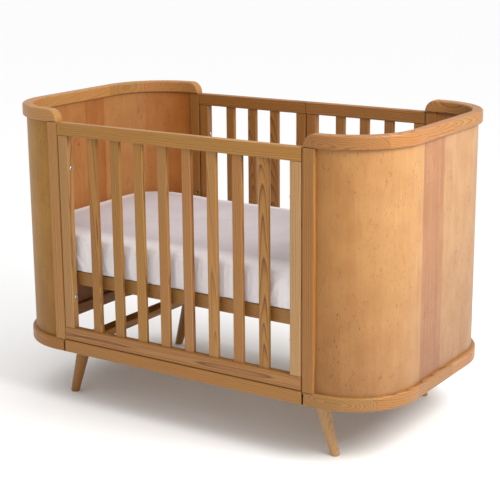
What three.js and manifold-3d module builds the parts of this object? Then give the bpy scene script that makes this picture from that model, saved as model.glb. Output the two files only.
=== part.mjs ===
// A baby crib: two bent-plywood ends with solid rails, slatted sides between their posts, a base
// at three heights and a mattress. Millimetres, +Z up. X runs along the crib, the front is at -Y,
// and the origin is on the floor under the middle.
import * as THREE from "three";
import { mergeVertices } from "three/addons/utils/BufferGeometryUtils.js";
import Module from "manifold-3d";

const wasm = await Module();
wasm.setup();

// ---- Driving dimensions ----
const WIDTH = 700; // outside of the front side to outside of the rear side
const BAY = 788; // clear length between the posts
const END_DEPTH = 230; // how far each end reaches past the bay
const END_RADIUS = 190; // outer corner radius of the end rails
const GAP = 0.3; // glue line or clearance between touching pieces
const EASE = 3; // rounding of board edges

const LEG_HEIGHT = 156; // floor to the underside of the plinth
const PLINTH_HEIGHT = 37;
const RAIL_WIDTH = 30; // plan width of cap rails, base rails and plinths
const RAIL_ROUND = 5; // rounding along cap rails, base rails and plinths
const CAP_HEIGHT = 35;
const CAP_END_RADIUS = 33; // rounded top corner where a cap rail ends

const SIDE_HEIGHT = 625;
const SIDE_THICK = 24;
const SIDE_LIFT = 2; // gap over the plinth
const SIDE_PLAY = 2; // gap beside each post
const TOP_RAIL = 36;
const BOTTOM_RAIL = 37;
const STILE = { width: 34, round: 6 };
const SLAT = { width: 31, thick: 13, round: 4, recess: 7, tenon: 8 };
const FRONT_SLATS = { count: 8, pitch: 79.1 };
const REAR_SLATS = { count: 3, pitch: 80.8 }; // in each half of the rear side

const PANEL = { inset: 11, thick: 9, groove: 6 }; // inset: behind the face of the rails
const POST = { width: 35, thick: 24, groove: 12, round: 4 };

const LEG = { topD: 42, footD: 25, topX: 397, footX: 443, y: 260 };
const LEG_BEAM = { width: 44, height: 22, x: 399 };

const BASE = { top: 391, height: 38, thick: 18, face: 317, half: 432 }; // at its middle height
const BASE_LEVELS = [-172, 0, 128]; // the three heights, from the middle one
const BASE_HOLE = { x: 405, depth: 13, bore: 7 };
const DECK = { thick: 10, rebate: 9, half: 592, radius: 150 };
const DECK_SLOT = { length: 200, width: 18, pitch: 110, perRow: 9, rowY: 148 };
const MATTRESS = { half: 592.5, halfWidth: 318.5, radius: 158.5, thick: 105, edge: 18 };

const BOLT = { shank: 6, head: 13, dome: 4, socket: 5, reach: 16, bore: 7 };
const SIDE_BOLT_Z = [323, 693];

// ---- Levels and faces that follow from them ----
const PLINTH_TOP = LEG_HEIGHT + PLINTH_HEIGHT;
const SIDE_BOTTOM = PLINTH_TOP + SIDE_LIFT;
const SIDE_TOP = SIDE_BOTTOM + SIDE_HEIGHT;
const CAP_TOP = SIDE_TOP + CAP_HEIGHT;
const HALF_WIDTH = WIDTH / 2;
const HALF_BAY = BAY / 2;
const SIDE_HALF = HALF_BAY - SIDE_PLAY;
const SIDE_MID = HALF_WIDTH - SIDE_THICK / 2;
const CORNER_X = HALF_BAY + END_DEPTH - END_RADIUS; // centre of an end's corner
const CORNER_Y = HALF_WIDTH - END_RADIUS;
const PANEL_START = HALF_BAY + POST.width - POST.groove;
const ARC_STEPS = 10; // flats round each corner of an end

// ---- Materials ----
const matt = (color, roughness = 0.5) => new THREE.MeshStandardMaterial({ color, roughness, metalness: 0 });
const ASH = matt(0xc08a52);
const ASH_PALE = matt(0xcf9d66);
const VENEER = matt(0xc98f58, 0.45);
const PLYWOOD = matt(0xd8b483, 0.7);
const FABRIC = matt(0xe6e1de, 0.9);
const STEEL = new THREE.MeshStandardMaterial({ color: 0xc9c9c6, roughness: 0.3, metalness: 1 });

// ---- Solids ----
// A closed geometry as a manifold-3d solid.
function solid(geometry) {
  const bare = geometry.clone();
  bare.deleteAttribute("normal");
  bare.deleteAttribute("uv");
  const merged = mergeVertices(bare, 1e-4);
  const vertProperties = merged.attributes.position.array;
  const triVerts = new Uint32Array(merged.index.array);
  return new wasm.Manifold(new wasm.Mesh({ numProp: 3, vertProperties, triVerts }));
}

// A manifold-3d solid as a geometry.
function geometryOf(manifold) {
  const { vertProperties, triVerts } = manifold.getMesh();
  const geometry = new THREE.BufferGeometry();
  geometry.setAttribute("position", new THREE.BufferAttribute(vertProperties, 3));
  geometry.setIndex(new THREE.BufferAttribute(triVerts, 1));
  geometry.computeVertexNormals();
  return geometry;
}

// The geometry with every cutter taken out of it.
function cut(geometry, cutters) {
  return geometryOf(cutters.reduce((left, cutter) => left.subtract(solid(cutter)), solid(geometry)));
}

// A rectangle centred on the origin. Its corner radii run anticlockwise from the +x +y corner.
function roundedRect(width, height, radii) {
  const sides = [[1, 1], [-1, 1], [-1, -1], [1, -1]];
  const steps = 2;
  const points = sides.flatMap(([sx, sy], i) => {
    const r = radii[i];
    return Array.from({ length: steps + 1 }, (_, k) => {
      const angle = (Math.PI / 2) * (i + k / steps);
      const x = sx * (width / 2 - r) + r * Math.cos(angle);
      return new THREE.Vector2(x, sy * (height / 2 - r) + r * Math.sin(angle));
    });
  });
  return new THREE.Shape(points);
}

const evenly = (radius) => [radius, radius, radius, radius];

// Turns an extrusion along z into one along "x" (section x, y to y, z) or "y" (section x, y to x, z).
function pointed(geometry, axis) {
  if (axis === "x") geometry.rotateX(Math.PI / 2).rotateZ(Math.PI / 2);
  if (axis === "y") geometry.rotateX(Math.PI / 2);
  return geometry;
}

function extruded(shape, axis, length) {
  const geometry = new THREE.ExtrudeGeometry(shape, { depth: length, bevelEnabled: false });
  return pointed(geometry.translate(0, 0, -length / 2), axis);
}

// A board centred on the origin, with rounded long edges.
function board(axis, length, width, height, radii = evenly(EASE)) {
  return extruded(roundedRect(width, height, radii), axis, length);
}

function box(x, y, z, sizeX, sizeY, sizeZ) {
  return new THREE.BoxGeometry(sizeX, sizeY, sizeZ).translate(x, y, z);
}

// A round cutter centred on a point.
function drill(axis, diameter, length, x, y, z) {
  const circle = new THREE.Shape().absarc(0, 0, diameter / 2, 0, 2 * Math.PI);
  const options = { depth: length, bevelEnabled: false, curveSegments: 5 };
  const geometry = new THREE.ExtrudeGeometry(circle, options).translate(0, 0, -length / 2);
  return pointed(geometry, axis).translate(x, y, z);
}

function mesh(name, geometry, material, x = 0, y = 0, z = 0) {
  const made = new THREE.Mesh(geometry, material);
  made.name = name;
  made.position.set(x, y, z);
  return made;
}

// Centres of equally spaced things about a middle.
const spread = (count, pitch, middle = 0) =>
  Array.from({ length: count }, (_, i) => middle + pitch * (i - (count - 1) / 2));

// ---- The curve of an end, seen from above ----
// Points of the right-hand end, this far inside its outer face, from the front arm to the rear one.
function endLine(inset, startX) {
  const r = END_RADIUS - inset;
  const turns = Array.from({ length: ARC_STEPS + 1 }, (_, i) => (Math.PI / 2) * (i / ARC_STEPS));
  const front = turns.map((a) => [CORNER_X + r * Math.sin(a), -CORNER_Y - r * Math.cos(a)]);
  const rear = turns.map((a) => [CORNER_X + r * Math.cos(a), CORNER_Y + r * Math.sin(a)]);
  const arm = HALF_WIDTH - inset;
  const all = [[startX, -arm], ...front, ...rear, [startX, arm]];
  return all.map(([x, y]) => new THREE.Vector2(x, y));
}

// The same line as a curve, with one step from each point to the next.
class EndPath extends THREE.Curve {
  constructor(inset, startX) {
    super();
    this.points = endLine(inset, startX);
    this.steps = this.points.length - 1;
  }
  getPointAt(u) {
    const { x, y } = this.points[Math.round(u * this.steps)];
    return new THREE.Vector3(x, y, 0);
  }
  getTangentAt(u) {
    const i = Math.round(u * this.steps);
    const here = this.points[i];
    const before = this.points[Math.max(i - 1, 0)];
    const after = this.points[Math.min(i + 1, this.steps)];
    const into = here.clone().sub(before).normalize();
    const { x, y } = after.clone().sub(here).normalize().add(into).normalize();
    return new THREE.Vector3(x, y, 0);
  }
}

// A rail bent round the end, standing on the level z.
function endRail(z, height) {
  const path = new EndPath(RAIL_WIDTH / 2, HALF_BAY + GAP);
  const section = roundedRect(height, RAIL_WIDTH, evenly(RAIL_ROUND));
  const geometry = new THREE.ExtrudeGeometry(section, { steps: path.steps, extrudePath: path });
  return geometry.translate(0, 0, z + height / 2);
}

// A wall bent round the end, between two levels.
function endWall(inset, thick, startX, low, high) {
  const outline = [...endLine(inset, startX), ...endLine(inset + thick, startX).reverse()];
  const options = { depth: high - low, bevelEnabled: false };
  return new THREE.ExtrudeGeometry(new THREE.Shape(outline), options).translate(0, 0, low);
}

// The panel's edges sit in grooves in the rails and posts around it; room is its clearance in them.
function panelWall(room) {
  const low = PLINTH_TOP - PANEL.groove - room;
  const high = SIDE_TOP + PANEL.groove + room;
  return endWall(PANEL.inset - room, PANEL.thick + 2 * room, PANEL_START - room, low, high);
}

// What is cut off the top corner of a cap rail's end.
function capCorner(side) {
  const r = CAP_END_RADIUS;
  const spare = 2;
  const shape = new THREE.Shape().moveTo(-spare, spare).lineTo(-spare, -r).lineTo(0, -r);
  shape.absarc(r, -r, r, Math.PI, Math.PI / 2, true);
  shape.lineTo(r, spare);
  const corner = extruded(shape, "y", RAIL_WIDTH + 2 * spare);
  return corner.translate(HALF_BAY + GAP, side * (HALF_WIDTH - RAIL_WIDTH / 2), CAP_TOP);
}

// ---- Pieces of an end ----
function capRail() {
  return cut(endRail(SIDE_TOP, CAP_HEIGHT), [panelWall(GAP), capCorner(-1), capCorner(1)]);
}

function baseRail() {
  return cut(endRail(LEG_HEIGHT, PLINTH_HEIGHT), [panelWall(GAP)]);
}

// A post on the front (side -1) or rear (side 1) arm, drilled for the side bolts and the base.
function post(side) {
  const x = HALF_BAY + POST.width / 2;
  const y = side * (HALF_WIDTH - POST.thick / 2);
  const height = SIDE_TOP - PLINTH_TOP - 2 * GAP;
  const body = board("z", height, POST.width, POST.thick, evenly(POST.round));
  body.translate(x, y, (SIDE_TOP + PLINTH_TOP) / 2);
  const sideHoles = boltHoles(side, HALF_BAY, 2 * (BOLT.reach + 2));
  const inner = side * (HALF_WIDTH - POST.thick);
  const baseHoles = BASE_LEVELS.map((level) => {
    const z = BASE.top - BASE.height / 2 + level;
    return drill("y", BASE_HOLE.bore, 2 * BASE_HOLE.depth, BASE_HOLE.x, inner, z);
  });
  return cut(body, [panelWall(GAP), ...sideHoles, ...baseHoles]);
}

// A turned, tapered leg, leaning outwards, cut level at the floor and under its beam.
function leg() {
  const spare = 12;
  const height = LEG_HEIGHT - GAP;
  const lean = Math.atan((LEG.footX - LEG.topX) / LEG_HEIGHT);
  const radiusAt = (z) => LEG.footD / 2 + ((LEG.topD - LEG.footD) / 2) * (z / LEG_HEIGHT);
  const ends = [-spare, LEG_HEIGHT + spare];
  const profile = [[0, ends[0]], ...ends.map((z) => [radiusAt(z), z]), [0, ends[1]]];
  const turned = new THREE.LatheGeometry(profile.map(([r, z]) => new THREE.Vector2(r, z)), 16);
  turned.rotateX(Math.PI / 2).rotateY(-lean).translate(LEG.footX, 0, 0);
  const slab = box(LEG.footX, 0, height / 2, 4 * LEG_HEIGHT, 4 * LEG.topD, height);
  return geometryOf(solid(turned).intersect(solid(slab)));
}

function legBeam() {
  const length = WIDTH - 2 * RAIL_WIDTH - 2 * GAP;
  return board("y", length, LEG_BEAM.width, LEG_BEAM.height);
}

// One end of the crib, made as the right-hand one. Turned half round it is the left-hand one,
// with its front and rear pieces changing places.
function makeEnd(end) {
  const group = new THREE.Group();
  const turned = end === "left";
  group.rotation.z = turned ? Math.PI : 0;
  group.add(mesh(`${end}_end_panel`, panelWall(0), VENEER));
  group.add(mesh(`${end}_cap_rail`, capRail(), ASH));
  group.add(mesh(`${end}_base_rail`, baseRail(), ASH));
  group.add(mesh(`${end}_leg_beam`, legBeam(), ASH, LEG_BEAM.x, 0, LEG_HEIGHT + LEG_BEAM.height / 2));
  for (const side of [-1, 1]) {
    const place = side < 0 !== turned ? "front" : "rear";
    group.add(mesh(`${place}_${end}_post`, post(side), ASH));
    group.add(mesh(`${place}_${end}_leg`, leg(), ASH_PALE, 0, side * LEG.y, 0));
  }
  return group;
}

function plinth(name, side) {
  const length = BAY - 2 * GAP;
  const beam = board("x", length, RAIL_WIDTH, PLINTH_HEIGHT, evenly(RAIL_ROUND));
  return mesh(name, beam, ASH, 0, side * (HALF_WIDTH - RAIL_WIDTH / 2), LEG_HEIGHT + PLINTH_HEIGHT / 2);
}

// ---- Slatted sides ----
// A frame from x0 to x1 on the front (side -1) or rear (side 1): rails at full length, stiles
// between them, and slats let into both rails. drillings are bolt holes, cut from every stile.
function sideFrame({ name, side, x0, x1, stiles, slats, drillings }) {
  const group = new THREE.Group();
  const y = side * SIDE_MID;
  const slatY = side * (HALF_WIDTH - SLAT.recess - SLAT.thick / 2);
  const low = SIDE_BOTTOM + BOTTOM_RAIL;
  const high = SIDE_TOP - TOP_RAIL;
  const xs = spread(slats.count, slats.pitch, (x0 + x1) / 2);
  const mortises = xs.map((x) => {
    const depth = high - low + 2 * SLAT.tenon;
    return box(x, slatY, (low + high) / 2, SLAT.width + 2 * GAP, SLAT.thick + 2 * GAP, depth);
  });
  const rail = (height, middleZ) => {
    const plain = board("x", x1 - x0, SIDE_THICK, height).translate((x0 + x1) / 2, y, middleZ);
    return cut(plain, mortises);
  };
  group.add(mesh(`${name}_top_rail`, rail(TOP_RAIL, SIDE_TOP - TOP_RAIL / 2), ASH));
  group.add(mesh(`${name}_bottom_rail`, rail(BOTTOM_RAIL, SIDE_BOTTOM + BOTTOM_RAIL / 2), ASH));

  const clear = STILE.round;
  const stileShape = { [-1]: [clear, EASE, EASE, clear], 1: [EASE, clear, clear, EASE] };
  stiles.forEach((label, i) => {
    const inward = i === 0 ? -1 : 1; // which face of the stile is square: the first one's left
    const x = i === 0 ? x0 + STILE.width / 2 : x1 - STILE.width / 2;
    const plain = board("z", high - low - 2 * GAP, STILE.width, SIDE_THICK, stileShape[inward]);
    plain.translate(x, y, (low + high) / 2);
    group.add(mesh(`${name}_${label}stile`, cut(plain, drillings), ASH));
  });

  const length = high - low + 2 * SLAT.tenon - 2 * GAP;
  xs.forEach((x, i) => {
    const slat = board("z", length, SLAT.width, SLAT.thick, evenly(SLAT.round));
    group.add(mesh(`${name}_slat_${i + 1}`, slat, ASH, x, slatY, (low + high) / 2));
  });
  return group;
}

// ---- Bolts ----
// A dome-head bolt: the head's seat is at x, and the shank runs from it towards +x or -x.
function bolt(name, x, y, z, direction, length) {
  const [r, head, dome, socket] = [BOLT.shank / 2, BOLT.head / 2, BOLT.dome, BOLT.socket / 2];
  const outline = [
    [0, -length],
    [r, -length],
    [r, 0],
    [head, 0],
    [head * 0.92, dome * 0.5],
    [head * 0.65, dome * 0.85],
    [socket, dome],
    [socket, dome * 0.4],
    [0, dome * 0.4],
  ];
  const turned = new THREE.LatheGeometry(outline.map(([a, b]) => new THREE.Vector2(a, b)), 10);
  turned.rotateZ((direction * Math.PI) / 2);
  return mesh(name, turned, STEEL, x - direction * GAP, y, z);
}

const STILE_FACE = SIDE_HALF - STILE.width; // where the bolts to the posts have their heads
const MIDDLE_FACE = SIDE_PLAY / 2 + STILE.width; // the same where the rear halves meet

function postBolts(place, side) {
  const length = HALF_BAY + BOLT.reach - STILE_FACE;
  return [-1, 1].flatMap((end) =>
    SIDE_BOLT_Z.map((z, i) => {
      const name = `${place}_${end < 0 ? "left" : "right"}_${i ? "upper" : "lower"}_bolt`;
      return bolt(name, end * STILE_FACE, side * SIDE_MID, z, end, length);
    }));
}

function middleBolts() {
  const length = MIDDLE_FACE + SIDE_PLAY / 2 + BOLT.reach;
  return SIDE_BOLT_Z.map((z, i) =>
    bolt(`rear_middle_${i ? "upper" : "lower"}_bolt`, -MIDDLE_FACE, SIDE_MID, z, 1, length));
}

// Cutters for a pair of bolts, centred on x.
function boltHoles(side, x, length) {
  return SIDE_BOLT_Z.map((z) => drill("x", BOLT.bore, length, x, side * SIDE_MID, z));
}

// ---- Mattress base and mattress ----
function oval(half, halfWidth, r) {
  const shape = new THREE.Shape();
  const [x, y] = [half - r, halfWidth - r];
  shape.absarc(x, y, r, 0, Math.PI / 2);
  shape.absarc(-x, y, r, Math.PI / 2, Math.PI);
  shape.absarc(-x, -y, r, Math.PI, 1.5 * Math.PI);
  shape.absarc(x, -y, r, 1.5 * Math.PI, 2 * Math.PI);
  return shape;
}

// A long rail of the base, with a rebate along its inner top edge for the deck.
function baseLongRail(side) {
  const low = BASE.top - BASE.height;
  const shelf = BASE.top - DECK.thick - GAP;
  const outer = -side * BASE.face;
  const at = (inset) => outer + side * inset;
  const corners = [
    [at(0), low],
    [at(BASE.thick), low],
    [at(BASE.thick), shelf],
    [at(DECK.rebate), shelf],
    [at(DECK.rebate), BASE.top],
    [at(0), BASE.top],
  ];
  const ordered = side > 0 ? corners : corners.reverse();
  const shape = new THREE.Shape(ordered.map(([y, z]) => new THREE.Vector2(y, z)));
  return extruded(shape, "x", 2 * BASE.half);
}

// The plywood deck, with two rows of vent slots.
function deck() {
  const shape = oval(DECK.half, BASE.face - DECK.rebate - GAP, DECK.radius);
  const r = DECK_SLOT.width / 2;
  const reach = DECK_SLOT.length / 2 - r;
  for (const y of [-DECK_SLOT.rowY, DECK_SLOT.rowY]) {
    for (const x of spread(DECK_SLOT.perRow, DECK_SLOT.pitch)) {
      const slot = new THREE.Path();
      slot.absarc(x, y + reach, r, 0, Math.PI);
      slot.absarc(x, y - reach, r, Math.PI, 2 * Math.PI);
      shape.holes.push(slot);
    }
  }
  return new THREE.ExtrudeGeometry(shape, { depth: DECK.thick, bevelEnabled: false, curveSegments: 3 });
}

function makeBase() {
  const group = new THREE.Group();
  group.add(mesh("base_front_rail", baseLongRail(1), ASH));
  group.add(mesh("base_rear_rail", baseLongRail(-1), ASH));
  const crossHeight = BASE.height - DECK.thick - GAP;
  const crossLength = 2 * (BASE.face - BASE.thick - GAP);
  for (const [end, side] of [["left", -1], ["right", 1]]) {
    const rail = board("y", crossLength, BASE.thick, crossHeight, evenly(GAP));
    const x = side * (BASE.half - BASE.thick / 2);
    group.add(mesh(`base_${end}_rail`, rail, ASH, x, 0, BASE.top - BASE.height + crossHeight / 2));
  }
  group.add(mesh("base_deck", deck(), PLYWOOD, 0, 0, BASE.top - DECK.thick));
  return group;
}

function makeMattress() {
  const { half, halfWidth, radius, thick, edge } = MATTRESS;
  const options = {
    depth: thick - 2 * edge,
    bevelThickness: edge,
    bevelSize: edge,
    bevelOffset: -edge,
    bevelSegments: 3,
    curveSegments: 5,
  };
  const geometry = new THREE.ExtrudeGeometry(oval(half, halfWidth, radius), options);
  return mesh("mattress", geometry, FABRIC, 0, 0, BASE.top + GAP + edge);
}

// ---- The crib ----
const crib = new THREE.Group();
crib.add(makeEnd("right"), makeEnd("left"));
crib.add(plinth("front_plinth", -1), plinth("rear_plinth", 1));

const through = STILE.width + 2 * SIDE_PLAY;
const outerStile = SIDE_HALF - STILE.width / 2;
crib.add(sideFrame({
  name: "front",
  side: -1,
  x0: -SIDE_HALF,
  x1: SIDE_HALF,
  stiles: ["left_", "right_"],
  slats: FRONT_SLATS,
  drillings: [...boltHoles(-1, -outerStile, through), ...boltHoles(-1, outerStile, through)],
}));
crib.add(sideFrame({
  name: "rear_left",
  side: 1,
  x0: -SIDE_HALF,
  x1: -SIDE_PLAY / 2,
  stiles: ["outer_", "inner_"],
  slats: REAR_SLATS,
  drillings: [...boltHoles(1, -outerStile, through), ...boltHoles(1, -MIDDLE_FACE / 2, through)],
}));
crib.add(sideFrame({
  name: "rear_right",
  side: 1,
  x0: SIDE_PLAY / 2,
  x1: SIDE_HALF,
  stiles: ["inner_", "outer_"],
  slats: REAR_SLATS,
  drillings: [...boltHoles(1, outerStile, through), ...boltHoles(1, 0, 2 * (BOLT.reach + SIDE_PLAY))],
}));
crib.add(...postBolts("front", -1), ...postBolts("rear", 1), ...middleBolts());
crib.add(makeBase(), makeMattress());

export default crib;
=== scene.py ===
"""A baby crib with bent-plywood ends, slatted sides and a mattress, dressed for rendering.

Metres, +Z up, the crib's length along X and its front at -Y, with the origin on the floor under its
middle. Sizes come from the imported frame. Each wooden piece is remade from its node's box with rounded
edges and its own solid-wood figure, the ends are swept smoothly, and the mattress has a fitted sheet.
"""
import math
import random

import bmesh
import bpy
import numpy as np
from mathutils import Euler, Matrix, Vector, noise


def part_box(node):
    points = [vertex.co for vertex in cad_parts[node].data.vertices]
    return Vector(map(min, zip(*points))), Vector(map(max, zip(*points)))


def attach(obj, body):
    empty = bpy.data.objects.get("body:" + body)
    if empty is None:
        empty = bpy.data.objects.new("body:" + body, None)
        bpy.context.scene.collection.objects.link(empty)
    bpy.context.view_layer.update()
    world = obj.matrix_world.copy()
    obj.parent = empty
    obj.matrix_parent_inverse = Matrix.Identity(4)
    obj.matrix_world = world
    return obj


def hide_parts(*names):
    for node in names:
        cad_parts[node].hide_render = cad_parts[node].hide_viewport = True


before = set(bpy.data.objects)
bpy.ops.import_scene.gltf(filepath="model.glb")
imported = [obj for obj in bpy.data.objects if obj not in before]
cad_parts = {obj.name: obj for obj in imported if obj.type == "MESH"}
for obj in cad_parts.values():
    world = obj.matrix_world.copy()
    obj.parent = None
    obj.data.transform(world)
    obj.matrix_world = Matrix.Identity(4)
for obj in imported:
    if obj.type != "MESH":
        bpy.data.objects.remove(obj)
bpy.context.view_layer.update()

MM = 0.001
FRAME_BODY = "crib_frame"
BASE_BODY = "mattress_base"
MATTRESS_BODY = "mattress"

# ---- Places that the frame gives ----
CAP_LOW, CAP_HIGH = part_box("right_cap_rail")
BASE_LOW, BASE_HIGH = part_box("right_base_rail")
_, PANEL_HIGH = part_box("right_end_panel")
_, POST_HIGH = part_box("front_right_post")
MATTRESS_LOW, MATTRESS_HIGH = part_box("mattress")
HALF_LENGTH = CAP_HIGH.x
HALF_WIDTH = CAP_HIGH.y
END_START = CAP_LOW.x

END_RADIUS = 0.190  # outer corner radius of an end
RAIL_WIDTH = 0.030
PANEL_THICK = 0.009
PANEL_INSET = HALF_WIDTH - PANEL_HIGH.y


# ========================================
# Meshes
# ========================================
def make_object(name, verts, faces, smooth=True):
    mesh = bpy.data.meshes.new(name)
    mesh.from_pydata([tuple(v) for v in verts], [], faces)
    mesh.validate()
    piece = bpy.data.objects.new(name, mesh)
    bpy.context.scene.collection.objects.link(piece)
    for polygon in mesh.polygons:
        polygon.use_smooth = smooth
    if smooth:
        weighted = piece.modifiers.new("weighted_normals", "WEIGHTED_NORMAL")
        weighted.keep_sharp = True
    return piece


def set_outward(piece):
    """Turns every face of a closed mesh outwards."""
    work = bmesh.new()
    work.from_mesh(piece.data)
    bmesh.ops.recalc_face_normals(work, faces=work.faces)
    work.to_mesh(piece.data)
    work.free()


def dress(piece, body, material, slot, *nodes):
    """Gives a piece its material and its body, and hides the nodes that it stands for. The slot is not used.
    """
    piece.data.materials.append(material)
    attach(piece, body)
    if nodes:
        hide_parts(*nodes)
    return piece


def ring_faces(rings, sides, first=0):
    """Quads between rings of vertices that follow one another, from a first vertex on."""
    faces = []
    for start in range(first, first + (rings - 1) * sides, sides):
        for k in range(sides):
            a, b = start + k, start + (k + 1) % sides
            faces.append((a, b, b + sides, a + sides))
    return faces


def rounded_section(width, height, radii, inset=0.0, steps=5):
    """Points of a rounded rectangle, anticlockwise from its +x +y corner, shrunk by inset."""
    points = []
    for i, (sx, sy) in enumerate(((1, 1), (-1, 1), (-1, -1), (1, -1))):
        radius = max(radii[i] - inset, 0.2 * MM)
        for k in range(steps + 1):
            angle = math.pi / 2 * (i + k / steps)
            x = sx * (width / 2 - inset - radius) + radius * math.cos(angle)
            y = sy * (height / 2 - inset - radius) + radius * math.sin(angle)
            points.append((x, y))
    return points


AXES = {"x": (1, 2, 0), "y": (0, 2, 1), "z": (0, 1, 2)}  # section's x and y, then the length


def board(name, low, high, axis, radii, end_round=0.6 * MM):
    """A straight board between two corners, with a radius for each long edge and eased ends."""
    across, up, along = AXES[axis]
    size = high - low
    middle = (low + high) / 2
    ease = [(end_round * (1 - math.sin(a)), end_round * (1 - math.cos(a)))
            for a in (0, math.pi / 4, math.pi / 2)]
    stations = [(low[along] + depth, inset) for inset, depth in ease]
    stations += [(high[along] - depth, inset) for inset, depth in reversed(ease)]
    verts = []
    for place, inset in stations:
        for x, y in rounded_section(size[across], size[up], radii, inset):
            point = [0.0, 0.0, 0.0]
            point[across] = middle[across] + x
            point[up] = middle[up] + y
            point[along] = place
            verts.append(point)
    ring = len(verts) // len(stations)
    faces = [tuple(range(ring)), tuple(range(len(verts) - ring, len(verts)))]
    faces += ring_faces(len(stations), ring)
    piece = make_object(name, verts, faces)
    set_outward(piece)
    return piece


# ---- The plan curve of an end ----
def end_path(inset, start, arc_steps=36, arm_steps=3, back_steps=12):
    """Stations (distance along, point, outward normal) of the right-hand end, front arm first."""
    radius = END_RADIUS - inset
    centre_x = HALF_LENGTH - END_RADIUS
    centre_y = HALF_WIDTH - END_RADIUS
    arm = centre_x - start
    quarter = math.pi / 2 * radius
    stations = []

    def add(distance, x, y, nx, ny):
        stations.append((distance, Vector((x, y, 0)), Vector((nx, ny, 0))))

    for k in range(arm_steps):
        reach = arm * k / arm_steps
        add(reach, start + reach, -centre_y - radius, 0, -1)
    for k in range(arc_steps + 1):
        a = math.pi / 2 * k / arc_steps
        nx, ny = math.sin(a), -math.cos(a)
        add(arm + radius * a, centre_x + radius * nx, -centre_y + radius * ny, nx, ny)
    for k in range(1, back_steps):
        reach = 2 * centre_y * k / back_steps
        add(arm + quarter + reach, centre_x + radius, reach - centre_y, 1, 0)
    for k in range(arc_steps + 1):
        a = math.pi / 2 * k / arc_steps
        nx, ny = math.cos(a), math.sin(a)
        distance = arm + quarter + 2 * centre_y + radius * a
        add(distance, centre_x + radius * nx, centre_y + radius * ny, nx, ny)
    for k in range(1, arm_steps + 1):
        reach = arm * k / arm_steps
        distance = arm + 2 * quarter + 2 * centre_y + reach
        add(distance, centre_x - reach, centre_y + radius, 0, 1)
    return stations


def at_distance(stations, distance):
    """The point and outward normal at a distance along a path, between two of its stations."""
    last = stations[-1][0]
    distance = min(max(distance, 0.0), last)
    for (d0, p0, n0), (d1, p1, n1) in zip(stations, stations[1:]):
        if distance <= d1:
            t = (distance - d0) / (d1 - d0)
            return p0.lerp(p1, t), n0.lerp(n1, t).normalized()
    return stations[-1][1], stations[-1][2]


def bent_rail(name, turn, inset, start, low, high, thick, edge, end_radius=0.0, round_steps=5):
    """A rail or wall swept round an end, with rounded arrises.

    Its centreline lies inset inside the end's outer face. With an end_radius, its top curves down
    to its underside at both ends, as seen from the side. turn is 0 at the right and pi at the left.
    The mesh carries the distance along the rail as the attribute "along".
    """
    path = end_path(inset, start)
    length = path[-1][0]
    height = high - low
    round_stations = 14
    arrises = [math.pi / 2 * k / round_steps for k in range(round_steps + 1)]
    rings = [(edge * (1 - math.sin(a)), thick / 2 - edge + edge * math.cos(a)) for a in arrises]
    rings += [(i, -t) for i, t in reversed(rings)]

    def outline(shrink):
        """(distance, underside, top) at each station, for the side view shrunk by that much."""
        rows = []
        if end_radius:
            centre = high - end_radius
            radius = end_radius - shrink
            start_sine = max((low + shrink - centre) / radius, 0.0)
            first = math.asin(min(start_sine, 1.0))
            for k in range(round_stations):
                a = first + (math.pi / 2 - first) * k / round_stations
                rows.append((end_radius - radius * math.cos(a), low + shrink, centre + radius * math.sin(a)))
        else:
            rows.append((shrink, low + shrink, high - shrink))
        head = len(rows)
        inner = [d for d, _, _ in path if end_radius + 2 * MM < d < length - end_radius - 2 * MM]
        rows += [(d, low + shrink, high - shrink) for d in [max(end_radius, 2 * MM)] + inner]
        rows.append((length - max(end_radius, 2 * MM), low + shrink, high - shrink))
        rows += [(length - d, under, top) for d, under, top in reversed(rows[:head])]
        return rows

    verts, distances = [], []
    for shrink, offset in rings:
        rows = outline(shrink)
        loop = [(d, under) for d, under, _ in rows] + [(d, top) for d, _, top in reversed(rows)]
        for distance, z in loop:
            point, normal = at_distance(path, distance)
            place = point + normal * offset
            verts.append(Vector((place.x, place.y, z)))
            distances.append(distance)
    size = len(verts) // len(rings)
    count = size // 2
    faces = ring_faces(len(rings), size)
    for base in (0, (len(rings) - 1) * size):
        for k in range(count - 1):
            faces.append((base + k, base + k + 1, base + size - 2 - k, base + size - 1 - k))
    spin = Matrix.Rotation(turn, 4, "Z")
    piece = make_object(name, [spin @ v for v in verts], faces)
    along = piece.data.attributes.new("along", "FLOAT", "POINT")
    along.data.foreach_set("value", distances)
    set_outward(piece)
    return piece


def turned(name, profile, sides=40):
    """A closed solid of revolution about +Z, from (radius, height) points that start and end on the axis."""
    verts = [(0, 0, profile[0][1])]
    for radius, height in profile[1:-1]:
        for k in range(sides):
            a = 2 * math.pi * k / sides
            verts.append((radius * math.cos(a), radius * math.sin(a), height))
    verts.append((0, 0, profile[-1][1]))
    faces = [(0, 1 + (k + 1) % sides, 1 + k) for k in range(sides)]
    rings = len(profile) - 2
    faces += ring_faces(rings, sides, first=1)
    top = len(verts) - 1
    last = 1 + (rings - 1) * sides
    faces += [(top, last + k, last + (k + 1) % sides) for k in range(sides)]
    piece = make_object(name, verts, faces)
    set_outward(piece)
    return piece


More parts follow.
